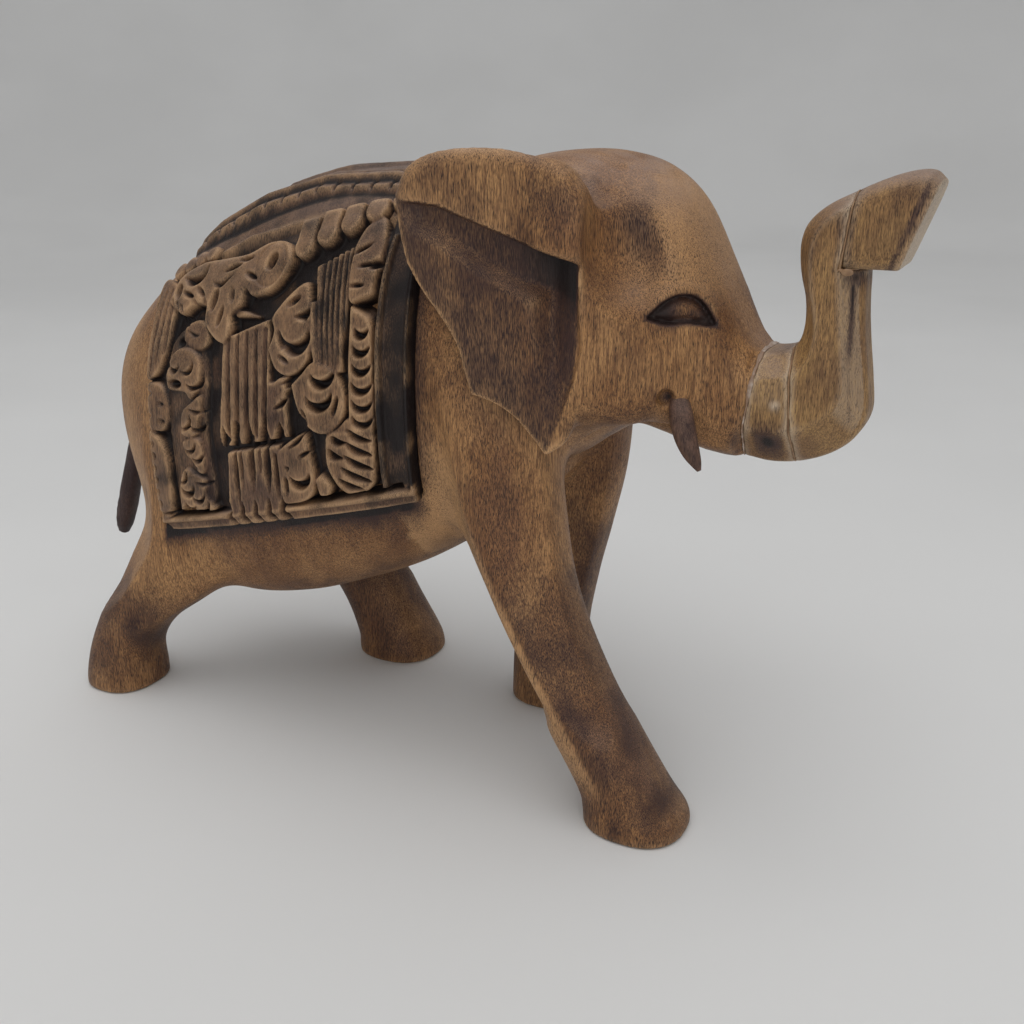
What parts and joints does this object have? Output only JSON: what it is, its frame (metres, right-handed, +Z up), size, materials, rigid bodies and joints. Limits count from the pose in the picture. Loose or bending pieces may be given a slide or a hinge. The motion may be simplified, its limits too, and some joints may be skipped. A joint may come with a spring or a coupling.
{
  "type": "carved wooden elephant figurine",
  "caption": "Carved wooden elephant, striding with raised trunk, relief saddlecloth, glued-on trunk pieces, inset tusks and tail.",
  "frame": {"origin": "centre of the bounding box's footprint, on the plane the four soles stand on", "axes": "+X from the tail towards the head and trunk tip, +Y towards the elephant's left side, +Z up"},
  "size_m": [0.2079, 0.0683, 0.134],
  "materials": {
    "carved_wood": "hand-carved, tan-brown with dark pores, lightly waxed",
    "dark_wood": "stained dark purple-brown",
    "dried_glue": "dried whitish glue",
    "dowel_wood": "plain turned hardwood"
  },
  "bodies": {
    "root": {"carved_body": "carved_wood", "trunk_root": "carved_wood", "trunk": "carved_wood", "trunk_tip": "carved_wood", "tusk_right": "dark_wood", "tusk_left": "dark_wood", "tail": "dark_wood", "head_glue": "dried_glue", "root_glue": "dried_glue", "tip_glue": "dried_glue", "trunk_dowel": "dowel_wood", "tip_dowel": "dowel_wood"}
  },
  "joints": []
}
